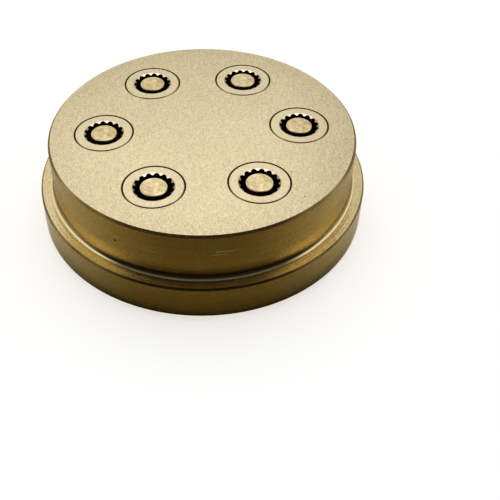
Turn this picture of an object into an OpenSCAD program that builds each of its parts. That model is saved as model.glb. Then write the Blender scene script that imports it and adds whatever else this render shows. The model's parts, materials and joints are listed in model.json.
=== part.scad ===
// Extrusion die for ribbed pasta tubes: a turned brass disc with a clamping flange.
// Each outlet holds an insert with a ribbed bore, which shapes the outside of the tube,
// and a core pin on a winged crown, which keeps the tube hollow.
// The inlet face lies on z = 0, and the outlet face looks up.

/* [Die body] */
// Diameter of the flange that the extruder's ring nut clamps
flange_d = 78.2; // [74:0.1:120]
// Thickness of the flange
flange_t = 10.1; // [9:0.1:16]
// Diameter of the neck that stands out through the ring nut
neck_d = 71.9; // [66:0.1:75.6]
// Height of the neck above the flange
neck_h = 12.4; // [10.6:0.1:20]
// Width of the corner that the tool leaves between the neck and the flange
neck_corner = 0.2; // [0.1:0.1:1.2]
// Chamfer around the outlet face
face_chamfer = 0.5; // [0.2:0.05:1.5]
// Chamfer on the upper edge of the flange
flange_chamfer = 0.4; // [0.2:0.05:1]
// Chamfer around the inlet face
foot_chamfer = 1.8; // [0.5:0.1:4]

/* [Outlets] */
// Number of outlets around the die
outlet_count = 6; // [3:1:7]
// Diameter of the circle through the outlet centres
pitch_d = 45.9; // [40:0.1:50]
// Turn of the first outlet away from the +X axis, in degrees
outlet_turn = 2.6; // [0:0.2:60]
// Chamfer around the mouth of each inlet pocket
pocket_chamfer = 0.8; // [0.3:0.1:1.5]

/* [Insert] */
// Diameter of the barrel that shows in the outlet face
barrel_d = 13.6; // [12.8:0.1:15]
// Length of the barrel
barrel_len = 8.5; // [7:0.1:9.5]
// Diameter of the collar that seats on the ledge inside the body
collar_d = 16.4; // [15.4:0.1:18]
// Thickness of the collar
collar_t = 3.5; // [2.5:0.1:5]
// Chamfer on both edges of the seam in the outlet face
seam_chamfer = 0.22; // [0.1:0.02:0.5]
// Radial clearance of the insert and the crown in the body
fit_gap = 0.02; // [0.01:0.01:0.1]

/* [Ribbed bore] */
// Diameter across the tips of the teeth
tube_d = 8.36; // [7.4:0.02:9.4]
// Number of grooves, one for each rib of the tube
rib_count = 15; // [9:1:18]
// Depth of a groove
rib_h = 0.44; // [0.2:0.04:0.6]
// Radius of a groove
rib_r = 0.75; // [0.5:0.05:0.9]
// Length of the ribbed land
land_len = 5.5; // [4:0.1:7]
// Width of the countersink that cuts the teeth back at the outlet face
mouth_width = 0.47; // [0.1:0.01:0.6]
// Angle of the countersink from wall to wall, in degrees
mouth_angle = 120; // [80:5:130]
// Diameter of the inlet at the back of the insert
inlet_d = 12; // [11:0.1:13]
// Depth of the straight inlet before its taper
inlet_depth = 1; // [0.5:0.1:2]

/* [Core pin] */
// Diameter of the pin, which is the hollow of the tube
pin_d = 6.1; // [4:0.1:7]
// Depth of the pin's end below the outlet face
pin_recess = 0.1; // [0:0.05:0.5]
// Edge break at the end of the pin
pin_edge = 0.12; // [0.05:0.01:0.3]
// Diameter of the hub that carries the wings
hub_d = 7.4; // [7.1:0.1:8.5]
// Length of the fairing from the hub to the pin
fairing_len = 4.5; // [2:0.1:6]
// Height of the crown from its nose to the face that seats on the insert
crown_h = 6; // [5:0.1:7.5]
// Length of the nose cone under the hub
nose_len = 2.4; // [1.5:0.1:3.5]
// Diameter of the blunt tip of the nose
nose_tip_d = 2; // [1:0.1:3]
// Number of wings on the crown
wing_count = 3; // [2:1:4]
// Thickness of a wing
wing_t = 2.6; // [1.6:0.1:3.4]
// Setback of the wing's edge behind the tip of the nose
wing_setback = 0.6; // [0.3:0.1:1]
// Height of the gable that splits the dough at each wing
gable_h = 1.6; // [0.5:0.1:2.5]
// Turn of the crown around its own axis, in degrees
wing_turn = 30; // [0:5:120]

/* [Hidden] */
$fn = 96;
// Overlap of a cutting shape past the face that it cuts
over = 0.5;
// Clocking of each insert as it was pressed in, in degrees
insert_turns = [7, 1, 14, 2, 11, 8];

flange_r = flange_d / 2;
neck_r = neck_d / 2;
pitch_r = pitch_d / 2;
barrel_r = barrel_d / 2;
collar_r = collar_d / 2;
tube_r = tube_d / 2;
inlet_r = inlet_d / 2;
pin_r = pin_d / 2;
hub_r = hub_d / 2;
die_h = flange_t + neck_h;

// Stepped bore of the body and the heights at which the pieces seat in it
barrel_bore_r = barrel_r + fit_gap;
seat_r = collar_r + fit_gap;
ledge_z = die_h - barrel_len;
insert_len = barrel_len + collar_t;
insert_z = die_h - insert_len;
crown_z = insert_z - crown_h;

// Ribbed land and the taper in front of it, as heights above the back of the insert
land_start = insert_len - land_len;
groove_centre_r = tube_r + rib_h - rib_r;
taper_len = land_start - inlet_depth;
taper_slope = (inlet_r - tube_r) / taper_len;
groove_start = land_start - rib_h / taper_slope - over;

// Countersink at the mouth: its rise for each unit of width, and its depth
mouth_slope = tan(90 - mouth_angle / 2);
mouth_depth = mouth_width * mouth_slope;

body_brass = "#d2be86";
insert_brass = "#dac794";
pin_brass = "#cdb274";

INSERTS = [for (k = [1:outlet_count]) str("insert_", k)];
PINS = [for (k = [1:outlet_count]) str("core_pin_", k)];

// Moves its children to the centre of an outlet
module at_outlet(k) {
    angle = outlet_turn + 360 * (k - 1) / outlet_count;
    translate([pitch_r * cos(angle), pitch_r * sin(angle), 0])
        children();
}

// Half section of the turned disc
module disc_section() {
    polygon([
        [0, 0],
        [flange_r - foot_chamfer, 0],
        [flange_r, foot_chamfer],
        [flange_r, flange_t - flange_chamfer],
        [flange_r - flange_chamfer, flange_t],
        [neck_r + neck_corner, flange_t],
        [neck_r, flange_t + neck_corner],
        [neck_r, die_h - face_chamfer],
        [neck_r - face_chamfer, die_h],
        [0, die_h]
    ]);
}

module turned_disc() {
    rotate_extrude()
        disc_section();
}

// Everything that is bored out of the disc at one outlet, from the inlet pocket to the seam
module seat_cutter() {
    rotate_extrude()
        polygon([
            [0, -over],
            [seat_r + pocket_chamfer + over, -over],
            [seat_r, pocket_chamfer],
            [seat_r, ledge_z],
            [barrel_bore_r, ledge_z],
            [barrel_bore_r, die_h - seam_chamfer],
            [barrel_bore_r + seam_chamfer + over, die_h + over],
            [0, die_h + over]
        ]);
}

module die_body() {
    color(body_brass)
        difference() {
            turned_disc();
            for (k = [1:outlet_count])
                at_outlet(k)
                    seat_cutter();
        }
}

// Barrel and collar of an insert, standing on the back of its collar
module insert_blank() {
    rotate_extrude()
        polygon([
            [0, 0],
            [collar_r, 0],
            [collar_r, collar_t],
            [barrel_r, collar_t],
            [barrel_r, insert_len - seam_chamfer],
            [barrel_r - seam_chamfer, insert_len],
            [0, insert_len]
        ]);
}

// Round bore of an insert: inlet, taper, land and the countersink that cuts the teeth back
module round_bore() {
    rotate_extrude()
        polygon([
            [0, -over],
            [inlet_r, -over],
            [inlet_r, inlet_depth],
            [tube_r, land_start],
            [tube_r, insert_len - mouth_depth],
            [tube_r + mouth_width + over / mouth_slope, insert_len + over],
            [0, insert_len + over]
        ]);
}

// Grooves of the land, which run out in the taper
module grooves() {
    for (i = [0:rib_count - 1])
        rotate([0, 0, 360 * i / rib_count])
            translate([groove_centre_r, 0, groove_start])
                cylinder(r = rib_r, h = insert_len - groove_start + over);
}

module insert(k) {
    turn = insert_turns[(k - 1) % len(insert_turns)];
    color(insert_brass)
        translate([0, 0, insert_z])
            rotate([0, 0, turn])
                difference() {
                    insert_blank();
                    round_bore();
                    grooves();
                }
}

// Turned part of a core pin: nose, hub, fairing and pin, standing on the tip of the nose
module pin_shaft() {
    pin_top = crown_h + insert_len - pin_recess;
    rotate_extrude()
        polygon([
            [0, 0],
            [nose_tip_d / 2, 0],
            [hub_r, nose_len],
            [hub_r, crown_h],
            [pin_r, crown_h + fairing_len],
            [pin_r, pin_top - pin_edge],
            [pin_r - pin_edge, pin_top],
            [0, pin_top]
        ]);
}

// Wings of the crown: gabled blades that reach the wall of the counterbore
module wings() {
    intersection() {
        cylinder(r = collar_r, h = crown_h);
        for (i = [0:wing_count - 1])
            rotate([0, 0, wing_turn + 360 * i / wing_count])
                rotate([90, 0, 90])
                    linear_extrude(height = collar_r + over)
                        polygon([
                            [0, wing_setback],
                            [wing_t / 2, wing_setback + gable_h],
                            [wing_t / 2, crown_h],
                            [-wing_t / 2, crown_h],
                            [-wing_t / 2, wing_setback + gable_h]
                        ]);
    }
}

module core_pin() {
    color(pin_brass)
        translate([0, 0, crown_z])
            union() {
                pin_shaft();
                wings();
            }
}

die_body();
for (k = [1:outlet_count]) {
    at_outlet(k) insert(k);
    at_outlet(k) core_pin();
}
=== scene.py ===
"""Looks of a pasta extrusion die: a turned brass body with six ribbed inserts and their core pins.

Objects are in metres, in the frame's own axes. Sizes in the classes are in millimetres and angles in degrees,
unless their docstrings name another unit.
"""
import json
import logging
import math
from dataclasses import dataclass
from enum import Enum
from typing import Any

import bmesh
import bpy
from mathutils import Matrix, Vector

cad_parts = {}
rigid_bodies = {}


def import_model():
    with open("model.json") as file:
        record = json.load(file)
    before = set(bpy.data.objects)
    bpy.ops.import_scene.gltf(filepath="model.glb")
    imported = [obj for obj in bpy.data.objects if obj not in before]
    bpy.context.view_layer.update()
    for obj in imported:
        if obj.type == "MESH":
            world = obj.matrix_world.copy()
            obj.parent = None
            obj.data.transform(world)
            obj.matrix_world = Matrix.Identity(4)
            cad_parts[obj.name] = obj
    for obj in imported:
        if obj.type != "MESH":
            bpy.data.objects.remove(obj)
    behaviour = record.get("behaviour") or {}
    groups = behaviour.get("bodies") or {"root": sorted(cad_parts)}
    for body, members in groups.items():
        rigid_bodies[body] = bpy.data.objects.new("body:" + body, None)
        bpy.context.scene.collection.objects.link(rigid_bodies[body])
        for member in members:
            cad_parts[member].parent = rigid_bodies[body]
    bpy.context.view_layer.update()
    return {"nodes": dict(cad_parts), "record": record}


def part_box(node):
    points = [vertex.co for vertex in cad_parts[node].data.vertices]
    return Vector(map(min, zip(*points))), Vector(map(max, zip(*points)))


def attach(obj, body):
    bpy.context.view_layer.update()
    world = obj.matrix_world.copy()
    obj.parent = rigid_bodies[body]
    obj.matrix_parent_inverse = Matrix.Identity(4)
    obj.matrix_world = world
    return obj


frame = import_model()

MM = 0.001
BODY = "root"
LOG = logging.getLogger("pasta_die")

Colour = tuple[float, float, float]
Triple = tuple[float, float, float]
Pair = tuple[float, float]
Socket = bpy.types.NodeSocket

UP: Triple = (0.0, 0.0, 1.0)
WHITE: Colour = (1.0, 1.0, 1.0)


class Kind(Enum):
    """Socket types of a node group."""

    VALUE = "NodeSocketFloat"
    VECTOR = "NodeSocketVector"


@dataclass(frozen=True)
class Fade:
    """A smooth change from start, at the low limit, to end, at the high one."""

    low: float
    high: float
    start: float = 0.0
    end: float = 1.0


class Graph:
    """A node tree with short calls that add nodes to it."""

    def __init__(self, tree: bpy.types.NodeTree) -> None:
        """Takes the tree to fill."""
        self.tree = tree

    def feed(self, socket: Socket, value: Any) -> None:
        """Links a socket to an input, or sets the input's own value.

        Args:
            socket: the input to fill.
            value: an output socket, a number, a vector or a colour.
        """
        if isinstance(value, bpy.types.NodeSocket):
            self.tree.links.new(value, socket)
        elif socket.type == "RGBA" and len(value) == 3:
            socket.default_value = (*value, 1.0)
        else:
            socket.default_value = value

    def add(self, kind: str, inputs: dict | None = None, **settings: Any) -> bpy.types.Node:
        """Adds a node.

        Args:
            kind: the node's type name.
            inputs: values or sockets for its inputs, by name or number.
            settings: the node's own properties.

        Returns:
            The new node.
        """
        node = self.tree.nodes.new(kind)
        for name, value in settings.items():
            setattr(node, name, value)
        for name, value in (inputs or {}).items():
            self.feed(node.inputs[name], value)
        return node

    def math(self, operation: str, *values: Any) -> Socket:
        """Adds a Math node and returns its value."""
        return self.add("ShaderNodeMath", dict(enumerate(values)), operation=operation).outputs[0]

    def product(self, first: Any, *others: Any) -> Any:
        """Returns the product of several values.

        Args:
            first: the first factor.
            others: the other factors.

        Returns:
            The product.
        """
        for other in others:
            first = self.math("MULTIPLY", first, other)
        return first

    def largest(self, first: Any, *others: Any) -> Any:
        """Returns the largest of several values.

        Args:
            first: the first value.
            others: the other values.

        Returns:
            The largest value.
        """
        for other in others:
            first = self.math("MAXIMUM", first, other)
        return first

    def swing(self, value: Socket, strength: Any) -> Socket:
        """Returns how far a value lies from one half, times a strength."""
        return self.product(self.math("SUBTRACT", value, 0.5), strength)

    def vector(self, operation: str, *values: Any) -> Socket:
        """Adds a Vector Math node and returns its vector."""
        node = self.add("ShaderNodeVectorMath", dict(enumerate(values)), operation=operation)
        return node.outputs["Vector"]

    def scaled(self, vector: Socket, factor: Any) -> Socket:
        """Returns a vector times a number."""
        inputs = {"Vector": vector, "Scale": factor}
        return self.add("ShaderNodeVectorMath", inputs, operation="SCALE").outputs["Vector"]

    def length(self, vector: Socket) -> Socket:
        """Returns the length of a vector."""
        return self.add("ShaderNodeVectorMath", {0: vector}, operation="LENGTH").outputs["Value"]

    def dot(self, a: Socket, b: Socket) -> Socket:
        """Returns the dot product of two vectors."""
        return self.add("ShaderNodeVectorMath", {0: a, 1: b}, operation="DOT_PRODUCT").outputs["Value"]

    def split(self, vector: Socket) -> tuple[Socket, Socket, Socket]:
        """Returns a vector's three parts."""
        node = self.add("ShaderNodeSeparateXYZ", {0: vector})
        return node.outputs[0], node.outputs[1], node.outputs[2]

    def join(self, x: Any, y: Any, z: Any = 0.0) -> Socket:
        """Returns a vector made of three parts."""
        return self.add("ShaderNodeCombineXYZ", {0: x, 1: y, 2: z}).outputs[0]

    def place(self) -> Socket:
        """Returns the place on the surface, in the object's own coordinates."""
        return self.add("ShaderNodeTexCoord").outputs["Object"]

    def turn(self, x: Socket, y: Socket) -> Socket:
        """Returns the angle of a place from the front of the die, in radians."""
        return self.math("ARCTAN2", x, self.product(y, -1.0))

    def ramp(self, value: Any, low: Any, high: Any, start: Any = 0.0, end: Any = 1.0) -> Socket:
        """Maps a value smoothly from one range to another, and holds it at the ends.

        Args:
            value: what is mapped.
            low: the value that gives start.
            high: the value that gives end.
            start: the result at low.
            end: the result at high.

        Returns:
            The mapped value.
        """
        inputs = {"Value": value, "From Min": low, "From Max": high, "To Min": start, "To Max": end}
        return self.add("ShaderNodeMapRange", inputs, interpolation_type="SMOOTHSTEP").outputs["Result"]

    def fade(self, value: Any, fade: Fade, base: float = 0.0, start: Any = None, end: Any = None) -> Socket:
        """Maps a value by a fade.

        Args:
            value: what is mapped.
            fade: the limits and the results at them.
            base: the value that the fade's limits are measured from.
            start: a result at the low limit that changes over the surface.
            end: a result at the high limit that changes over the surface.

        Returns:
            The mapped value.
        """
        start = fade.start if start is None else start
        end = fade.end if end is None else end
        return self.ramp(value, base + fade.low, base + fade.high, start, end)

    def mix(self, factor: Any, a: Any, b: Any) -> Socket:
        """Returns a value between two values."""
        return self.add("ShaderNodeMix", {0: factor, 2: a, 3: b}, data_type="FLOAT").outputs[0]

    def blend(self, factor: Any, a: Any, b: Any, mode: str = "MIX") -> Socket:
        """Returns a colour between two colours, or blended by a mode."""
        inputs = {0: factor, 6: a, 7: b}
        return self.add("ShaderNodeMix", inputs, data_type="RGBA", blend_type=mode).outputs[2]

    def noise(self, vector: Socket, detail: float, rough: float) -> Socket:
        """Returns a noise value of scale one in the vector's own units."""
        inputs = {"Vector": vector, "Scale": 1.0, "Detail": detail, "Roughness": rough}
        return self.add("ShaderNodeTexNoise", inputs).outputs[0]


@dataclass(frozen=True)
class Port:
    """One socket of a node group."""

    name: str
    kind: Kind


class Effect:
    """A shader node group that several finishes share."""

    def __init__(self, name: str, inputs: list[Port], outputs: list[Port]) -> None:
        """Makes the group and its sockets.

        Args:
            name: the group's name.
            inputs: its input sockets.
            outputs: its output sockets.
        """
        self.tree = bpy.data.node_groups.new(name, "ShaderNodeTree")
        for ports, side in ((inputs, "INPUT"), (outputs, "OUTPUT")):
            for port in ports:
                self.tree.interface.new_socket(port.name, in_out=side, socket_type=port.kind.value)
        self.graph = Graph(self.tree)
        self.given = self.graph.add("NodeGroupInput").outputs
        self.result = self.graph.add("NodeGroupOutput").inputs

    def give(self, name: str, value: Socket) -> None:
        """Links a value to one of the group's outputs."""
        self.graph.feed(self.result[name], value)

    def place(self, graph: Graph, inputs: dict) -> bpy.types.NodeOutputs:
        """Places the group in a material.

        Args:
            graph: the material's graph.
            inputs: values or sockets for the group's inputs.

        Returns:
            The placed group's outputs.
        """
        return graph.add("ShaderNodeGroup", inputs, node_tree=self.tree).outputs


@dataclass
class DieSizes:
    """The die's sizes, in millimetres, and the first outlet's turn, in radians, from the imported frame."""

    height: float
    flange_height: float
    flange_radius: float
    neck_radius: float
    pitch_radius: float
    first_turn: float
    outlet_count: int
    insert_end_radius: float

    @classmethod
    def from_frame(cls) -> "DieSizes":
        """Reads the sizes from the CAD nodes and the record's mounts.

        Returns:
            The sizes.
        """
        mounts = {m["name"]: m for m in frame["record"]["mounts"]}
        outlets = [n for n in frame["nodes"] if n.startswith("insert_")]
        centre = cls.axis_of("insert_1")
        return cls(
            height=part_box("die_body")[1].z / MM,
            flange_height=mounts["clamp_face"]["pos_m"][2] / MM,
            flange_radius=mounts["flange_rim"]["dims"]["r_mm"],
            neck_radius=mounts["neck_spigot"]["dims"]["r_mm"],
            pitch_radius=centre.length / MM,
            first_turn=math.atan2(centre.y, centre.x),
            outlet_count=len(outlets),
            insert_end_radius=cls.end_radius("insert_1") / MM,
        )

    @staticmethod
    def axis_of(node: str) -> Vector:
        """Returns the centre of a node's box, seen from above, in metres."""
        low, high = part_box(node)
        return ((low + high) / 2).to_2d()

    @classmethod
    def end_radius(cls, node: str, slack: float = 0.01) -> float:
        """Measures the flat upper end of a round node.

        Args:
            node: the node's name.
            slack: how far below the top a point may lie, in millimetres.

        Returns:
            The largest radius of the end, in metres.
        """
        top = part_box(node)[1].z
        centre = cls.axis_of(node)
        ends = [v.co.to_2d() for v in frame["nodes"][node].data.vertices if v.co.z > top - slack * MM]
        return max((v - centre).length for v in ends)


@dataclass(frozen=True)
class Brass:
    """One finish of the brass: its colours, its roughness and the strength of its patterns."""

    name: str
    turned: Colour
    # Colour of dark residue, and of painted shade in the bores and on the corner.
    soot_and_shade: Colour
    rough: float
    sanded: Colour = WHITE
    speckle: float = 0.0
    lines: float = 0.0
    grazing: Colour = WHITE


@dataclass
class Effects:
    """The effects that the finishes share, with scales per millimetre."""

    sizes: DieSizes
    grain_scale: Triple = (3.8, 2.8, 3.4)
    streak_scale: Triple = (3.4, 0.7, 3.4)
    streak_share: float = 0.18
    line_scale: float = 7.0
    broad_scale: float = 1.6
    broad_share: float = 0.2
    hair_scale: float = 23.0
    cloud_scale: float = 0.11
    spot_core: float = 0.4
    scratch_core: float = 0.3
    scratch_end: float = 0.3

    def __post_init__(self) -> None:
        """Builds every effect once."""
        self.outlets = self.outlet_field()
        self.sanding = self.sanded_grain()
        self.turning = self.turned_lines()
        self.clouds = self.handling_clouds()
        self.leaning = self.leaning_normal()
        self.spots = self.spot_mark()
        self.scratches = self.scratch_mark()

    def outlet_field(self) -> Effect:
        """Builds the effect that measures from the nearest outlet's axis.

        Returns:
            A group from a place in millimetres to the place seen from the axis, and its distance.
        """
        effect = Effect("outlet_field", [Port("Place", Kind.VECTOR)],
                        [Port("Offset", Kind.VECTOR), Port("Distance", Kind.VALUE)])
        g = effect.graph
        x, y, _ = g.split(effect.given["Place"])
        step = 2 * math.pi / self.sizes.outlet_count
        turn = g.math("SUBTRACT", g.math("ARCTAN2", y, x), self.sizes.first_turn)
        nearest = g.product(g.math("ROUND", g.math("DIVIDE", turn, step)), step)
        axis = g.math("ADD", nearest, self.sizes.first_turn)
        centre_x = g.product(g.math("COSINE", axis), self.sizes.pitch_radius)
        centre_y = g.product(g.math("SINE", axis), self.sizes.pitch_radius)
        offset = g.join(g.math("SUBTRACT", x, centre_x), g.math("SUBTRACT", y, centre_y))
        effect.give("Offset", offset)
        effect.give("Distance", g.length(offset))
        return effect

    def sanded_grain(self) -> Effect:
        """Builds the fine grain of a sanded face.

        Returns:
            A group from a place in millimetres to a speckle around one half.
        """
        effect = Effect("sanded_grain", [Port("Place", Kind.VECTOR)], [Port("Speckle", Kind.VALUE)])
        g = effect.graph
        place = effect.given["Place"]
        fine = g.noise(g.vector("MULTIPLY", place, self.grain_scale), detail=2.0, rough=0.85)
        streak = g.noise(g.vector("MULTIPLY", place, self.streak_scale), detail=1.0, rough=0.5)
        effect.give("Speckle", g.mix(self.streak_share, fine, streak))
        return effect

    def turned_lines(self) -> Effect:
        """Builds the fine lines that a lathe tool leaves.

        Returns:
            A group from a length across the lines and a direction around the axis to the lines, around one
            half, and to the lean of the finest ones, around zero.
        """
        effect = Effect("turned_lines", [Port("Across", Kind.VALUE), Port("Around", Kind.VECTOR)],
                        [Port("Lines", Kind.VALUE), Port("Lean", Kind.VALUE)])
        g = effect.graph
        x, y, _ = g.split(effect.given["Around"])
        across = effect.given["Across"]
        fine = g.noise(g.join(g.product(across, self.line_scale), x, y), detail=2.0, rough=0.6)
        broad = g.noise(g.join(g.product(across, self.broad_scale), x, y), detail=1.0, rough=0.5)
        effect.give("Lines", g.mix(self.broad_share, fine, broad))
        hair = g.noise(g.join(g.product(across, self.hair_scale), x, y), detail=1.0, rough=0.5)
        effect.give("Lean", g.swing(hair, 2.0))
        return effect

    def handling_clouds(self) -> Effect:
        """Builds the faint clouds that handling leaves on bare brass.

        Returns:
            A group from a place in millimetres to a soft value around one half.
        """
        effect = Effect("handling_clouds", [Port("Place", Kind.VECTOR)], [Port("Cloud", Kind.VALUE)])
        g = effect.graph
        place = g.scaled(effect.given["Place"], self.cloud_scale)
        effect.give("Cloud", g.noise(place, detail=3.0, rough=0.55))
        return effect

    def leaning_normal(self) -> Effect:
        """Builds the effect that leans a normal, as tool marks too fine to see do.

        Returns:
            A group from a normal, a direction and an amount to the leaning normal.
        """
        effect = Effect("leaning_normal", [Port("Normal", Kind.VECTOR), Port("Toward", Kind.VECTOR),
                                           Port("Amount", Kind.VALUE)], [Port("Normal", Kind.VECTOR)])
        g = effect.graph
        lean = g.scaled(effect.given["Toward"], effect.given["Amount"])
        effect.give("Normal", g.vector("NORMALIZE", g.vector("ADD", effect.given["Normal"], lean)))
        return effect

    def spot_mark(self) -> Effect:
        """Builds a small round mark.

        Returns:
            A group from a place, a centre and a radius in millimetres to a mask.
        """
        effect = Effect("spot_mark", [Port("Place", Kind.VECTOR), Port("Centre", Kind.VECTOR),
                                      Port("Radius", Kind.VALUE)], [Port("Mask", Kind.VALUE)])
        g = effect.graph
        away = g.length(g.vector("SUBTRACT", effect.given["Place"], effect.given["Centre"]))
        radius = effect.given["Radius"]
        effect.give("Mask", g.ramp(away, radius, g.product(radius, self.spot_core)))
        return effect

    def scratch_mark(self) -> Effect:
        """Builds a straight scratch that fades at both ends.

        Returns:
            A group from a place, two ends and a width in millimetres to a mask.
        """
        effect = Effect("scratch_mark", [Port("Place", Kind.VECTOR), Port("Start", Kind.VECTOR),
                                         Port("End", Kind.VECTOR), Port("Width", Kind.VALUE)],
                        [Port("Mask", Kind.VALUE)])
        g = effect.graph
        given = effect.given
        along = g.vector("SUBTRACT", given["End"], given["Start"])
        reach = g.vector("SUBTRACT", given["Place"], given["Start"])
        part = g.math("DIVIDE", g.dot(reach, along), g.dot(along, along))
        held = g.math("MINIMUM", g.math("MAXIMUM", part, 0.0), 1.0)
        away = g.length(g.vector("SUBTRACT", reach, g.scaled(along, held)))
        line = g.ramp(away, given["Width"], g.product(given["Width"], self.scratch_core))
        ends = g.product(g.ramp(held, 0.0, self.scratch_end), g.ramp(held, 1.0, 1.0 - self.scratch_end))
        effect.give("Mask", g.product(line, ends))
        return effect


@dataclass(frozen=True)
class Scratch:
    """A straight scratch, from end to end on an unrolled surface, and how bright it is."""

    start: Pair
    end: Pair
    width: float
    bright: float = 1.0


class BrassSkin:
    """A procedural brass, made from a finish and the shared effects."""

    FLAT = Fade(0.85, 0.97)
    # Scale of the painted sheen sectors on the pin ends.
    SHEEN_FAN_SCALE = 0.13
    # Painted shade in the bores: how sharply it starts, and how far below it runs out.
    SHADE_TOP = 0.06
    SHADE_RUN_OUT = 2.5
    # The seam: a dark joint, with painted shade heavier at the back of each outlet.
    SEAM_SOOT_AND_SHADE = Fade(-0.9, 0.2, 0.75, 1.0)
    CLOUD = 0.12
    ROUGH_SWING = 0.2
    SOOT_AND_SHADE_ROUGH = 0.45
    BUMP = 0.12
    BUMP_DEPTH = 0.04

    def __init__(self, finish: Brass, effects: Effects) -> None:
        """Starts the material and the values that every brass reads.

        Args:
            finish: the colours and strengths.
            effects: the shared effects.
        """
        self.finish = finish
        self.effects = effects
        self.material = bpy.data.materials.new(finish.name)
        self.material.use_nodes = True
        self.material.node_tree.nodes.clear()
        self.graph = g = Graph(self.material.node_tree)
        self.place = g.scaled(g.place(), 1 / MM)
        self.x, self.y, self.z = g.split(self.place)
        self.true_normal = g.add("ShaderNodeNewGeometry").outputs["Normal"]
        self.normal = self.true_normal
        self.lie = g.fade(g.math("ABSOLUTE", g.split(self.normal)[2]), self.FLAT)
        outlet = effects.outlets.place(g, {"Place": self.place})
        self.offset, self.distance = outlet["Offset"], outlet["Distance"]

    def lines_around(self, centre: Socket, lean: Any, coarse: float = 1.0) -> Socket:
        """Draws turned lines around an axis, as rings on flat faces and hoops on upright ones.

        Args:
            centre: the place seen from the axis.
            lean: how far the finest lines lean the normal.
            coarse: how many times wider than usual the lines are.

        Returns:
            The lines, around one half.
        """
        g = self.graph
        x, y, _ = g.split(centre)
        flat = g.join(x, y)
        around = g.vector("NORMALIZE", flat)
        across = g.math("DIVIDE", g.mix(self.lie, self.z, g.length(flat)), coarse)
        marks = self.effects.turning.place(g, {"Across": across, "Around": around})
        self.lean(g.blend(self.lie, UP, around), g.product(marks["Lean"], lean))
        return marks["Lines"]

    def lean(self, toward: Socket, amount: Socket) -> None:
        """Leans the surface's normal a little, as fine turned lines do."""
        inputs = {"Normal": self.normal, "Toward": toward, "Amount": amount}
        self.normal = self.effects.leaning.place(self.graph, inputs)["Normal"]

    def reach(self) -> Socket:
        """Returns the distance from the die's axis."""
        return self.graph.length(self.graph.join(self.x, self.y))

    def front(self) -> Socket:
        """Returns one at the front of the die, zero at its sides and minus one at its back."""
        return self.graph.math("DIVIDE", self.graph.product(self.y, -1.0), self.reach())

    def grain(self) -> Socket:
        """Returns the speckle of the sanded faces."""
        return self.effects.sanding.place(self.graph, {"Place": self.place})["Speckle"]

    def cloud(self) -> Socket:
        """Returns the faint clouds of handling."""
        return self.effects.clouds.place(self.graph, {"Place": self.place})["Cloud"]

    def sheen_fan(self) -> Socket:
        """Makes soft sectors of painted sheen around an outlet's axis, like the reflection in a facing cut.

        Returns:
            The painted sheen sectors, around one half.
        """
        g = self.graph
        around = g.vector("NORMALIZE", self.offset)
        return g.noise(g.vector("ADD", around, g.scaled(self.place, self.SHEEN_FAN_SCALE)), detail=1.0, rough=0.5)

    def between(self, top: float, bottom: float) -> Socket:
        """Masks painted shade in a bore, which starts sharply at one height and fades out below another.

        Args:
            top: the height where it starts.
            bottom: the height below which it fades.

        Returns:
            The mask.
        """
        g = self.graph
        start = g.ramp(self.z, top, top - self.SHADE_TOP)
        return g.product(start, g.ramp(self.z, bottom - self.SHADE_RUN_OUT, bottom))

    def far_side(self) -> Socket:
        """Returns one at the back of each outlet, minus one at its front."""
        return self.graph.math("DIVIDE", self.graph.split(self.offset)[1], self.distance)

    def seam_soot_and_shade(self) -> Socket:
        """Returns how dark the seam around an insert is: a dark joint, with painted shade heavier at the back
        of each outlet.
        """
        return self.graph.fade(self.far_side(), self.SEAM_SOOT_AND_SHADE)

    def spot(self, place: Socket, centre: Triple, radius: float) -> Socket:
        """Returns the mask of a small round mark."""
        inputs = {"Place": place, "Centre": centre, "Radius": radius}
        return self.effects.spots.place(self.graph, inputs)["Mask"]

    def scratch(self, place: Socket, mark: Scratch) -> Socket:
        """Returns the mask of a straight scratch."""
        inputs = {"Place": place, "Start": (*mark.start, 0.0), "End": (*mark.end, 0.0), "Width": mark.width}
        return self.graph.product(self.effects.scratches.place(self.graph, inputs)["Mask"], mark.bright)

    def shade(self, tint: Socket | Colour, pattern: Socket, strength: Socket | float,
              soot_and_shade: Socket) -> bpy.types.Material:
        """Finishes the material.

        Args:
            tint: the clean brass.
            pattern: the surface's fine pattern, around one half.
            strength: how much the pattern changes the colour.
            soot_and_shade: where dark residue and painted shade cover the brass.

        Returns:
            The material.
        """
        g = self.graph
        change = g.math("ADD", g.swing(pattern, strength), g.swing(self.cloud(), self.CLOUD))
        gain = g.math("ADD", change, 1.0)
        lit = g.blend(1.0, tint, g.join(gain, gain, gain), "MULTIPLY")
        # Dark residue and painted shade darken the brass here.
        colour = g.blend(soot_and_shade, lit, self.finish.soot_and_shade)
        rough = g.math("ADD", g.swing(pattern, self.ROUGH_SWING), self.finish.rough)
        rough = g.mix(soot_and_shade, rough, self.SOOT_AND_SHADE_ROUGH)
        bump = g.add("ShaderNodeBump", {
            "Strength": self.BUMP, "Distance": self.BUMP_DEPTH * MM, "Height": pattern,
            "Normal": self.normal})
        shader = g.add("ShaderNodeBsdfPrincipled", {
            "Base Color": colour, "Metallic": 1.0, "Roughness": rough, "Specular Tint": self.finish.grazing,
            "Normal": bump.outputs[0]})
        g.add("ShaderNodeOutputMaterial", {"Surface": shader.outputs[0]})
        return self.material


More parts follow.
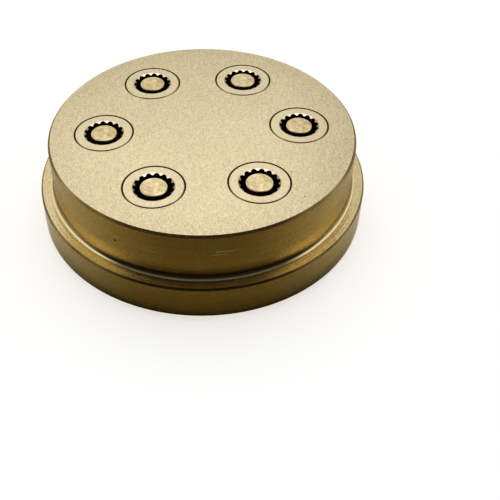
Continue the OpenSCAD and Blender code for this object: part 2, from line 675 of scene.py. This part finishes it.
@dataclass
class DieBody:
    """The turned body: a neck, a flange and the seats of the inserts.

    Fades named for the front read one at the front of the die and zero at its sides, and steep reads how far
    the surface looks up. The other fades are measured from the face, the shelf, the neck, the flange or the
    seam, in millimetres. Marks on the neck are given by the millimetres from the front and above the flange.
    """

    sizes: DieSizes
    effects: Effects
    finish: Brass = Brass("body_brass_skin", turned=(0.62, 0.462, 0.175), soot_and_shade=(0.06, 0.036, 0.011),
                          rough=0.22, sanded=(0.6, 0.506, 0.312), speckle=1.8, lines=2.4,
                          grazing=(0.7, 0.68, 0.6))
    # The corner's paler tint is a painted highlight, and its dark colour painted shade.
    corner_finish: Brass = Brass("corner_brass_skin", turned=(0.8, 0.65, 0.36), soot_and_shade=(0.03, 0.024, 0.014),
                                 rough=0.24, lines=0.2)
    shelf: Colour = (0.55, 0.437, 0.228)
    # Painted light: the shelf is paler in front.
    shelf_painted_light: Colour = (0.68, 0.545, 0.285)
    scratched: Colour = (1.0, 0.9, 0.65)
    # Painted shade at the foot of the neck.
    foot_shade_colour: Colour = (0.02, 0.01, 0.002)
    # Darker tint: painted shade on the front chamfers, and the face's darker outer rim.
    dark_edge_tint: Colour = (0.12, 0.075, 0.025)
    side_grain: float = 0.75
    side_lean: float = 0.16
    shelf_lean: float = 0.3
    face_height: Fade = Fade(-0.4, -0.1)
    shelf_height: Fade = Fade(-1.0, -0.5)
    shelf_front: Fade = Fade(0.3, 0.7)
    # The face is darker toward its outer rim.
    face_rim_darkening: Fade = Fade(-12.0, 0.0, 0.0, 0.1)
    seam_width: float = 0.52
    seam_edge: Fade = Fade(0.0, -0.1)
    # Painted shade on the chamfers of the face and the flange, toward the front, eased at the very front.
    steep: Fade = Fade(0.9, 0.8)
    edge_height: Fade = Fade(-0.6, -0.45)
    edge_reach: Fade = Fade(-2.0, -1.0)
    edge_front: Fade = Fade(0.5, 0.75, 0.0, 0.92)
    edge_shade_eased_front: Fade = Fade(0.88, 0.97, 0.0, 0.5)
    rim_band: Fade = Fade(-0.5, -0.35)
    rim_front: Fade = Fade(0.5, 0.72, 0.0, 0.94)
    # Painted shade at the neck's foot, darkest in front.
    foot_shade_front: Fade = Fade(0.7, 0.88, 0.15, 0.95)
    foot_shade_top: Fade = Fade(2.3, 0.8)
    foot_shade_bottom: Fade = Fade(0.05, 0.15)
    neck_scratches: tuple[Scratch, ...] = (
        Scratch((1.4, 7.85), (8.2, 8.0), 0.2),
        Scratch((0.6, 6.95), (5.8, 7.15), 0.15),
        Scratch((-13.8, 7.1), (-9.8, 6.7), 0.15, 0.5),
    )
    neck_pit: Pair = (-19.6, 6.6)
    pit_radius: float = 0.42
    face_specks: tuple[Pair, ...] = ((19.6, -15.9), (21.6, -24.1), (20.9, -26.0))
    speck_radius: float = 0.28
    speck_dark: float = 0.6
    # Painted shade on the corner ring, in front.
    corner_shade_height: Fade = Fade(0.1, 0.28)
    corner_top_shade_front: Fade = Fade(0.55, 0.85, 0.0, 0.98)
    corner_shade_front: Fade = Fade(0.77, 0.89, 0.0, 0.83)
    corner_radius: float = 0.85
    corner_sunk: float = 0.01
    corner_steps: int = 10
    turn_steps: int = 288
    sharp_angle: float = 40.0

    def dress(self) -> None:
        """Gives the body's CAD node its brass, and rounds the neck's corner."""
        frame["nodes"]["die_body"].data.materials[0] = self.body_skin()
        LOG.info("die_body: sanded face, turned sides")
        self.corner(self.corner_skin())
        LOG.info("neck_corner: turned corner")

    def body_skin(self) -> bpy.types.Material:
        """Makes the body's brass: a sanded outlet face, and a turned shelf, sides and inlet face, with
        painted light and shade.

        Returns:
            The material.
        """
        skin = BrassSkin(self.finish, self.effects)
        g = skin.graph
        face = g.product(skin.lie, g.fade(skin.z, self.face_height, self.sizes.height))
        lean = g.mix(face, g.mix(skin.lie, self.side_lean, self.shelf_lean), 0.0)
        grain = skin.grain()
        side = g.mix(self.side_grain, skin.lines_around(skin.place, lean), grain)
        pattern = g.mix(face, side, grain)
        strength = g.mix(face, self.finish.lines, self.finish.speckle)
        # Painted light: the shelf is paler toward the front.
        painted_light = g.product(g.fade(skin.z, self.shelf_height, self.sizes.flange_height),
                             g.fade(skin.front(), self.shelf_front))
        shelf = g.blend(painted_light, self.shelf, self.shelf_painted_light)
        tint = g.blend(skin.lie, self.finish.turned, g.blend(face, shelf, self.finish.sanded))
        # The face is darker toward its outer rim.
        rim_darkening = g.fade(skin.reach(), self.face_rim_darkening, self.sizes.neck_radius)
        tint = g.blend(g.product(rim_darkening, face), tint, self.dark_edge_tint)
        tint = g.blend(self.scratches(skin), tint, self.scratched)
        # Painted shade on the chamfers toward the front.
        tint = g.blend(self.painted_edge_shade(skin), tint, self.dark_edge_tint)
        # Painted shade at the neck's foot.
        tint = g.blend(self.foot_shade(skin), tint, self.foot_shade_colour)
        seam = self.sizes.insert_end_radius + self.seam_width
        soot_and_shade = g.fade(skin.distance, self.seam_edge, seam, end=skin.seam_soot_and_shade())
        return skin.shade(tint, pattern, strength, g.largest(soot_and_shade, self.specks(skin)))

    def corner_skin(self) -> bpy.types.Material:
        """Makes the brass of the neck's corner, with painted shade in front and a paler tint as a painted
        highlight.

        Returns:
            The material.
        """
        skin = BrassSkin(self.corner_finish, self.effects)
        g = skin.graph
        lines = skin.lines_around(skin.place, self.side_lean)
        front = skin.front()
        top = g.product(g.fade(skin.z, self.corner_shade_height, self.sizes.flange_height),
                        g.fade(front, self.corner_top_shade_front))
        # Painted shade on the corner: its upper part toward the front, all of it at the very front.
        soot_and_shade = g.largest(top, g.fade(front, self.corner_shade_front))
        return skin.shade(self.corner_finish.turned, lines, self.corner_finish.lines, soot_and_shade)

    def painted_edge_shade(self, skin: BrassSkin) -> Socket:
        """Masks painted shade on the outer chamfers of the face and the flange, toward the front.

        Args:
            skin: the body's brass.

        Returns:
            The mask.
        """
        g = skin.graph
        sizes = self.sizes
        steep = g.fade(g.split(skin.true_normal)[2], self.steep)
        reach, front = skin.reach(), skin.front()
        edge = g.product(g.fade(skin.z, self.edge_height, sizes.height),
                         g.fade(reach, self.edge_reach, sizes.neck_radius),
                         g.math("SUBTRACT", g.fade(front, self.edge_front), g.fade(front, self.edge_shade_eased_front)))
        rim = g.product(g.fade(skin.z, self.rim_band, sizes.flange_height),
                        g.fade(reach, self.rim_band, sizes.flange_radius),
                        g.fade(front, self.rim_front))
        return g.product(steep, g.largest(edge, rim))

    def foot_shade(self, skin: BrassSkin) -> Socket:
        """Masks painted shade at the foot of the neck, which is thick in front and thin elsewhere.

        Args:
            skin: the body's brass.

        Returns:
            The mask.
        """
        g = skin.graph
        shelf = self.sizes.flange_height
        foot = g.product(g.fade(skin.z, self.foot_shade_top, shelf), g.fade(skin.z, self.foot_shade_bottom, shelf))
        return g.product(foot, g.fade(skin.front(), self.foot_shade_front))

    def unrolled(self, skin: BrassSkin) -> Socket:
        """Lays the neck's surface flat.

        Args:
            skin: the body's brass.

        Returns:
            The millimetres from the front, and the height above the flange.
        """
        g = skin.graph
        along = g.product(g.turn(skin.x, skin.y), self.sizes.neck_radius)
        return g.join(along, g.math("SUBTRACT", skin.z, self.sizes.flange_height))

    def scratches(self, skin: BrassSkin) -> Socket:
        """Masks the fine bright scratches on the neck.

        Args:
            skin: the body's brass.

        Returns:
            The mask.
        """
        neck = self.unrolled(skin)
        return skin.graph.largest(*(skin.scratch(neck, mark) for mark in self.neck_scratches))

    def specks(self, skin: BrassSkin) -> Socket:
        """Masks a dark pit in the neck and the few dark specks on the face.

        Args:
            skin: the body's brass.

        Returns:
            The mask.
        """
        g = skin.graph
        mask = skin.spot(self.unrolled(skin), (*self.neck_pit, 0.0), self.pit_radius)
        for x, y in self.face_specks:
            speck = skin.spot(skin.place, (x, y, self.sizes.height), self.speck_radius)
            mask = g.largest(mask, g.product(speck, self.speck_dark))
        return mask

    def corner(self, material: bpy.types.Material) -> None:
        """Rounds the corner between the neck and the flange with a ring that lies on the CAD body.

        Args:
            material: the corner's brass.
        """
        radius = self.corner_radius
        inner = self.sizes.neck_radius - self.corner_sunk
        low = self.sizes.flange_height - self.corner_sunk
        mesh = bmesh.new()
        profile = [(inner, low)]
        for step in range(self.corner_steps + 1):
            turn = math.pi + 0.5 * math.pi * step / self.corner_steps
            profile.append((inner + radius * (1 + math.cos(turn)), low + radius * (1 + math.sin(turn))))
        rows = []
        for step in range(self.turn_steps):
            turn = 2 * math.pi * step / self.turn_steps
            x, y = math.cos(turn) * MM, math.sin(turn) * MM
            rows.append([mesh.verts.new((r * x, r * y, z * MM)) for r, z in profile])
        for row, after in zip(rows, rows[1:] + rows[:1]):
            for k in range(len(profile)):
                mesh.faces.new((row[k - 1], after[k - 1], after[k], row[k]))
        mesh.normal_update()
        bmesh.ops.recalc_face_normals(mesh, faces=mesh.faces)
        for face in mesh.faces:
            face.smooth = True
        for edge in mesh.edges:
            if len(edge.link_faces) == 2 and edge.calc_face_angle() > math.radians(self.sharp_angle):
                edge.smooth = False
        data = bpy.data.meshes.new("neck_corner")
        mesh.to_mesh(data)
        mesh.free()
        data.materials.append(material)
        ring = bpy.data.objects.new("neck_corner", data)
        bpy.context.scene.collection.objects.link(ring)
        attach(ring, BODY)


@dataclass
class Inserts:
    """The pressed-in inserts with their ribbed bores, which carry painted shade and a painted highlight.

    Fades named for the back read one at the back of an outlet and minus one at its front. The other fades are
    measured from the end's or the mouth's radius, in millimetres.
    """

    sizes: DieSizes
    effects: Effects
    # The dark colour is painted shade in the bore and on the teeth, and the dark seam.
    finish: Brass = Brass("insert_brass_skin", turned=(0.61, 0.50, 0.28), soot_and_shade=(0.055, 0.028, 0.006),
                          rough=0.22, sanded=(0.61, 0.512, 0.32), speckle=1.2)
    bore_lean: float = 0.1
    land_depth: float = 5.5
    mouth_radius: float = 4.65
    mouth_depth: float = 0.29
    seam_edge: Fade = Fade(0.02, 0.12)
    # Painted shade on the teeth, except at the back of each mouth.
    teeth_shade_edge: Fade = Fade(0.13, 0.03)
    teeth_shade_back: Fade = Fade(0.75, 0.3, 0.0, 0.4)
    # A painted highlight on the teeth at the back of each mouth.
    mouth_highlight_edge: Fade = Fade(0.05, -0.05)
    mouth_highlight_back: Fade = Fade(0.4, 0.7)
    mouth_highlight_colour: Colour = (0.9, 0.8, 0.6)

    def dress(self) -> None:
        """Gives every insert its sanded face, painted shade in its bore and on its teeth, and a painted
        highlight at the mouth's back.
        """
        skin = BrassSkin(self.finish, self.effects)
        g = skin.graph
        height = self.sizes.height
        lines = skin.lines_around(skin.offset, g.mix(skin.lie, self.bore_lean, 0.0))
        pattern = g.mix(skin.lie, lines, skin.grain())
        # Painted shade in the bore; the seam below is a dark joint with painted shade heavier at the back.
        bore = skin.between(height - self.mouth_depth, height - self.land_depth)
        seam = g.fade(skin.distance, self.seam_edge, self.sizes.insert_end_radius, end=skin.seam_soot_and_shade())
        back = skin.far_side()
        # Painted shade on the teeth at the front and sides of each mouth.
        teeth_shade = g.product(g.fade(skin.distance, self.teeth_shade_edge, self.mouth_radius),
                          g.fade(back, self.teeth_shade_back))
        # A painted highlight at the back of each mouth.
        mouth_highlight = g.product(g.fade(skin.distance, self.mouth_highlight_edge, self.mouth_radius),
                        g.fade(back, self.mouth_highlight_back))
        tint = g.blend(skin.lie, self.finish.turned, self.finish.sanded)
        tint = g.blend(mouth_highlight, tint, self.mouth_highlight_colour)
        material = skin.shade(tint, pattern, self.finish.speckle, g.largest(bore, seam, teeth_shade))
        for k in range(1, self.sizes.outlet_count + 1):
            frame["nodes"][f"insert_{k}"].data.materials[0] = material
            LOG.info("insert_%d: sanded end, dark ribbed bore", k)


@dataclass
class CorePins:
    """The core pins that keep the tubes hollow, golden with painted shade at the back of the die and paler at
    its front.
    """

    sizes: DieSizes
    effects: Effects
    # The darker golden tint is a painted shaded copy of the paler one, and the dark colour is painted shade
    # on the sides.
    finish: Brass = Brass("pin_brass_skin", turned=(0.5, 0.38, 0.175), soot_and_shade=(0.12, 0.055, 0.012), rough=0.22,
                          sanded=(0.64, 0.52, 0.295), lines=1.5)
    coarse: float = 2.4
    end_lean: float = 0.8
    # Painted shade on the pin sides starts this far below the top.
    shade_start_depth: float = 0.3
    land_depth: float = 5.5
    # Painted shade makes the pins golden toward the back of the die.
    golden_shade_back: Fade = Fade(-16.0, 4.0)
    # Painted sheen sectors on the pin ends.
    golden_sheen_fan: Fade = Fade(0.43, 0.57)
    sheen_fan_share: float = 0.6

    def dress(self) -> None:
        """Gives every core pin its turned end, with painted sheen, and painted shade on its sides."""
        skin = BrassSkin(self.finish, self.effects)
        g = skin.graph
        pattern = skin.lines_around(skin.offset, self.end_lean, self.coarse)
        height = self.sizes.height
        # Painted shade on the pin sides.
        soot_and_shade = skin.between(height - self.shade_start_depth, height - self.land_depth)
        # Painted shade toward the back, and painted sheen sectors, pick the golden tint.
        golden = g.mix(self.sheen_fan_share, g.fade(skin.y, self.golden_shade_back), g.fade(skin.sheen_fan(), self.golden_sheen_fan))
        tint = g.blend(golden, self.finish.sanded, self.finish.turned)
        material = skin.shade(tint, pattern, self.finish.lines, soot_and_shade)
        for k in range(1, self.sizes.outlet_count + 1):
            frame["nodes"][f"core_pin_{k}"].data.materials[0] = material
            LOG.info("core_pin_%d: turned end", k)


class StagePiece:
    """What the floor and the reflection cards share."""

    @staticmethod
    def material(name: str) -> tuple[bpy.types.Material, Graph]:
        """Starts an empty material.

        Args:
            name: its name.

        Returns:
            The material and its graph.
        """
        material = bpy.data.materials.new(name)
        material.use_nodes = True
        material.node_tree.nodes.clear()
        return material, Graph(material.node_tree)

    @staticmethod
    def around(g: Graph) -> tuple[Socket, Socket, Socket]:
        """Measures a place from the die's front, axis and foot.

        Args:
            g: the material's graph.

        Returns:
            The angle from the front in degrees, the distance from the axis and the height in millimetres.
        """
        x, y, z = g.split(g.scaled(g.place(), 1 / MM))
        turn = g.math("DEGREES", g.math("ABSOLUTE", g.turn(x, y)))
        return turn, g.length(g.join(x, y)), z

    @staticmethod
    def add(name: str, mesh: bmesh.types.BMesh, material: bpy.types.Material) -> bpy.types.Object:
        """Adds a stage object.

        Args:
            name: its name.
            mesh: its shape, which is freed.
            material: its material.

        Returns:
            The new object.
        """
        data = bpy.data.meshes.new(name)
        mesh.to_mesh(data)
        mesh.free()
        data.materials.append(material)
        obj = bpy.data.objects.new(name, data)
        bpy.context.scene.collection.objects.link(obj)
        return obj

    @staticmethod
    def show_to_reflections(card: bpy.types.Object) -> None:
        """Hides a card from everything but reflections.

        Args:
            card: the card's object.
        """
        card.visible_camera = False
        card.visible_diffuse = False
        card.visible_shadow = False
        card.visible_transmission = False
        card.visible_volume_scatter = False


def seen(graph: Graph) -> Socket:
    """Tells the rays that look at a surface from those that light it.

    Args:
        graph: the material's or world's graph.

    Returns:
        One where a ray comes from the camera, a reflection or a refraction.
    """
    path = graph.add("ShaderNodeLightPath").outputs
    return graph.largest(path["Is Camera Ray"], path["Is Glossy Ray"], path["Is Transmission Ray"])


@dataclass
class Floor(StagePiece):
    """A pale floor that looks white where no shadow falls, and dark under the die, where its glow stops as a
    painted shadow.
    """

    sizes: DieSizes
    colour: Colour = (0.82, 0.82, 0.82)
    glow: float = 0.55
    # Where the glow stops under the die: a painted shadow.
    painted_shadow_under_die: Fade = Fade(-6.0, -3.0)
    half_width: float = 3000.0
    drop: float = 0.1

    def build(self) -> None:
        """Lays the floor."""
        material, g = self.material("pale_floor")
        plain = g.add("ShaderNodeBsdfDiffuse", {"Color": self.colour})
        _, reach, _ = self.around(g)
        # The glow stops under the die: painted shadow.
        open_floor = g.fade(reach, self.painted_shadow_under_die, self.sizes.flange_radius, end=self.glow)
        glow = g.add("ShaderNodeEmission", {"Strength": g.product(seen(g), open_floor)})
        both = g.add("ShaderNodeAddShader", {0: plain.outputs[0], 1: glow.outputs[0]})
        g.add("ShaderNodeOutputMaterial", {"Surface": both.outputs[0]})
        mesh = bmesh.new()
        bmesh.ops.create_grid(mesh, x_segments=1, y_segments=1, size=self.half_width * MM)
        bmesh.ops.translate(mesh, vec=(0, 0, -self.drop * MM), verts=mesh.verts)
        self.add("floor", mesh, material)


@dataclass
class FloorCard(StagePiece):
    """A glowing ring on the floor that only reflections see, a painted reflection: warm and dark in front,
    paler to the sides.

    Fades named for the turn read the angle from the front, and the others the distance from the flange.
    """

    sizes: DieSizes
    warm: Colour = (1.0, 0.77, 0.31)
    pale: Colour = (1.0, 0.95, 0.82)
    near_white: Colour = (1.0, 0.96, 1.0)
    pale_turn: Fade = Fade(12.0, 95.0)
    side_turn: Fade = Fade(10.0, 105.0, 0.14, 0.62)
    back_turn: Fade = Fade(100.0, 160.0, 1.0, 0.52)
    shade_turn: Fade = Fade(20.0, 100.0, 0.35, 1.0)
    shade_reach: Fade = Fade(0.0, 9.0)
    contact_turn: Fade = Fade(20.0, 80.0, 0.1, 1.0)
    contact_reach: Fade = Fade(1.0, 3.2)
    near_turn: Fade = Fade(25.0, 70.0, 1.0, 1.5)
    near_reach: Fade = Fade(5.0, 9.0)
    white_turn: Fade = Fade(15.0, 65.0)
    white_reach: Fade = Fade(9.0, 5.0)
    far_reach: Fade = Fade(11.0, 18.0, 1.0, 0.78)
    gap: float = 0.5
    growth: float = 17.0
    lift: float = 0.05
    turn_steps: int = 96

    def build(self) -> None:
        """Lays the card around the die."""
        material, g = self.material("floor_card")
        turn, from_axis, _ = self.around(g)
        reach = g.math("SUBTRACT", from_axis, self.sizes.flange_radius)
        white = g.product(g.fade(turn, self.white_turn), g.fade(reach, self.white_reach))
        colour = g.blend(g.fade(turn, self.pale_turn), self.warm, self.pale)
        colour = g.blend(white, colour, self.near_white)
        strength = g.product(
            g.fade(turn, self.side_turn),
            g.fade(turn, self.back_turn),
            g.fade(reach, self.shade_reach, start=g.fade(turn, self.shade_turn)),
            g.fade(reach, self.contact_reach, start=g.fade(turn, self.contact_turn)),
            g.fade(reach, self.near_reach, start=g.fade(turn, self.near_turn)),
            g.fade(reach, self.far_reach))
        glow = g.add("ShaderNodeEmission", {"Color": colour, "Strength": strength})
        g.add("ShaderNodeOutputMaterial", {"Surface": glow.outputs[0]})
        mesh = bmesh.new()
        inner = (self.sizes.flange_radius + self.gap) * MM
        bmesh.ops.create_circle(mesh, cap_ends=False, radius=inner, segments=self.turn_steps)
        rim = bmesh.ops.extrude_edge_only(mesh, edges=mesh.edges)["geom"]
        outer = [v for v in rim if isinstance(v, bmesh.types.BMVert)]
        bmesh.ops.scale(mesh, vec=(self.growth, self.growth, 1), verts=outer)
        bmesh.ops.translate(mesh, vec=(0, 0, self.lift * MM), verts=mesh.verts)
        self.show_to_reflections(self.add("floor_card", mesh, material))


@dataclass
class DarkDome(StagePiece):
    """A dome that only reflections see, a painted dark reflection: dark in front, glowing faintly low down,
    with a low band to its sides.

    Fades named for the turn read the angle from the front, and those named for the rise the angle above the
    floor.
    """

    warm: Colour = (1.0, 0.7, 0.4)
    front_turn: Fade = Fade(80.0, 50.0)
    front_rise: Fade = Fade(76.0, 62.0)
    band_turn: Fade = Fade(176.0, 150.0)
    band_rise: Fade = Fade(31.0, 6.0)
    side_turn: Fade = Fade(60.0, 150.0, 0.05, 0.2)
    low_turn: Fade = Fade(75.0, 45.0)
    low_rise: Fade = Fade(34.0, 22.0)
    low_glow: float = 0.4
    plain_turn: Fade = Fade(20.0, 110.0)
    radius: float = 700.0
    arc: float = 78.0
    arc_steps: int = 26
    turn_steps: int = 72

    def build(self) -> None:
        """Sets the dome over the die."""
        material, g = self.material("dark_dome")
        turn, _, height = self.around(g)
        rise = g.math("DEGREES", g.math("ARCSINE", g.math("DIVIDE", height, self.radius)))
        front = g.product(g.fade(turn, self.front_turn), g.fade(rise, self.front_rise))
        band = g.product(g.fade(turn, self.band_turn), g.fade(rise, self.band_rise))
        low = g.product(g.fade(turn, self.low_turn), g.fade(rise, self.low_rise))
        strength = g.largest(g.fade(turn, self.side_turn), g.product(low, self.low_glow))
        colour = g.blend(g.largest(low, g.fade(turn, self.plain_turn)), self.warm, WHITE)
        dark = g.add("ShaderNodeEmission", {"Color": colour, "Strength": strength})
        clear = g.add("ShaderNodeBsdfTransparent")
        cover = g.largest(front, band)
        both = g.add("ShaderNodeMixShader", {0: cover, 1: clear.outputs[0], 2: dark.outputs[0]})
        g.add("ShaderNodeOutputMaterial", {"Surface": both.outputs[0]})
        mesh = bmesh.new()
        start = [mesh.verts.new((0, -self.radius * MM, 0))]
        bmesh.ops.spin(mesh, geom=start, cent=(0, 0, 0), axis=(-1, 0, 0), angle=math.radians(self.arc),
                       steps=self.arc_steps)
        bmesh.ops.spin(mesh, geom=mesh.verts[:] + mesh.edges[:], cent=(0, 0, 0), axis=UP,
                       angle=2 * math.pi, steps=self.turn_steps, use_merge=True)
        self.show_to_reflections(self.add("dark_dome", mesh, material))


@dataclass(frozen=True)
class Lamp:
    """A square soft light that looks at the die: its place and side in metres, and its power in watts."""

    name: str
    place: Triple
    side: float
    power: float

    def build(self) -> None:
        """Hangs the lamp."""
        data = bpy.data.lights.new(self.name, "AREA")
        data.size = self.side
        data.energy = self.power
        lamp = bpy.data.objects.new(self.name, data)
        lamp.location = self.place
        lamp.rotation_euler = (-Vector(self.place)).to_track_quat("-Z", "Y").to_euler()
        bpy.context.scene.collection.objects.link(lamp)


@dataclass
class Camera:
    """The camera at the viewing angle, which looks past the middle of the outlet face."""

    sizes: DieSizes
    elevation: float = 37.122
    distance: float = 186.86
    pitch: float = 3.864
    roll: float = 0.719
    focal: float = 57.14
    shift_x: float = 0.095
    shift_y: float = -0.1352
    nearest: float = 10.0
    farthest: float = 20000.0

    def build(self) -> None:
        """Sets up the camera."""
        tilt = math.radians(self.elevation)
        back = Vector((0.0, -math.cos(tilt), math.sin(tilt)))
        right = Vector((1.0, 0.0, 0.0))
        base = Matrix((right, back.cross(right), back))
        pitched = Matrix.Rotation(math.radians(self.pitch), 3, "X")
        turned = Matrix.Rotation(math.radians(self.roll), 3, "Z") @ pitched @ base
        data = bpy.data.cameras.new("camera")
        data.lens = self.focal
        data.shift_x = self.shift_x
        data.shift_y = self.shift_y
        data.clip_start = self.nearest * MM
        data.clip_end = self.farthest * MM
        camera = bpy.data.objects.new("camera", data)
        place = Vector((0.0, 0.0, self.sizes.height)) + back * self.distance
        camera.matrix_world = Matrix.Translation(place * MM) @ turned.transposed().to_4x4()
        bpy.context.scene.collection.objects.link(camera)
        bpy.context.scene.camera = camera


@dataclass
class Studio:
    """Background, floor, reflection cards, soft lights and camera."""

    sizes: DieSizes
    ambient: float = 0.4
    key: Lamp = Lamp("key_light", (-0.075, 0.62, 0.777), side=0.5, power=0.3)
    top: Lamp = Lamp("top_light", (0.0, 0.15, 1.0), side=0.9, power=2.0)

    def build(self) -> None:
        """Builds the whole studio."""
        self.world()
        Floor(self.sizes).build()
        FloorCard(self.sizes).build()
        DarkDome().build()
        self.key.build()
        self.top.build()
        Camera(self.sizes).build()
        bpy.context.scene.view_settings.view_transform = "Standard"

    def world(self) -> None:
        """Makes a white background, and a softer white as light."""
        world = bpy.data.worlds.new("studio")
        world.use_nodes = True
        world.node_tree.nodes.clear()
        g = Graph(world.node_tree)
        strength = g.mix(seen(g), self.ambient, 1.0)
        sky = g.add("ShaderNodeBackground", {"Color": WHITE, "Strength": strength})
        g.add("ShaderNodeOutputWorld", {"Surface": sky.outputs[0]})
        bpy.context.scene.world = world


def main() -> None:
    """Dresses the die and sets up the studio."""
    logging.basicConfig(level=logging.INFO)
    sizes = DieSizes.from_frame()
    LOG.info("%s", sizes)
    effects = Effects(sizes)
    DieBody(sizes, effects).dress()
    Inserts(sizes, effects).dress()
    CorePins(sizes, effects).dress()
    Studio(sizes).build()


if __name__ == "__main__":
    main()
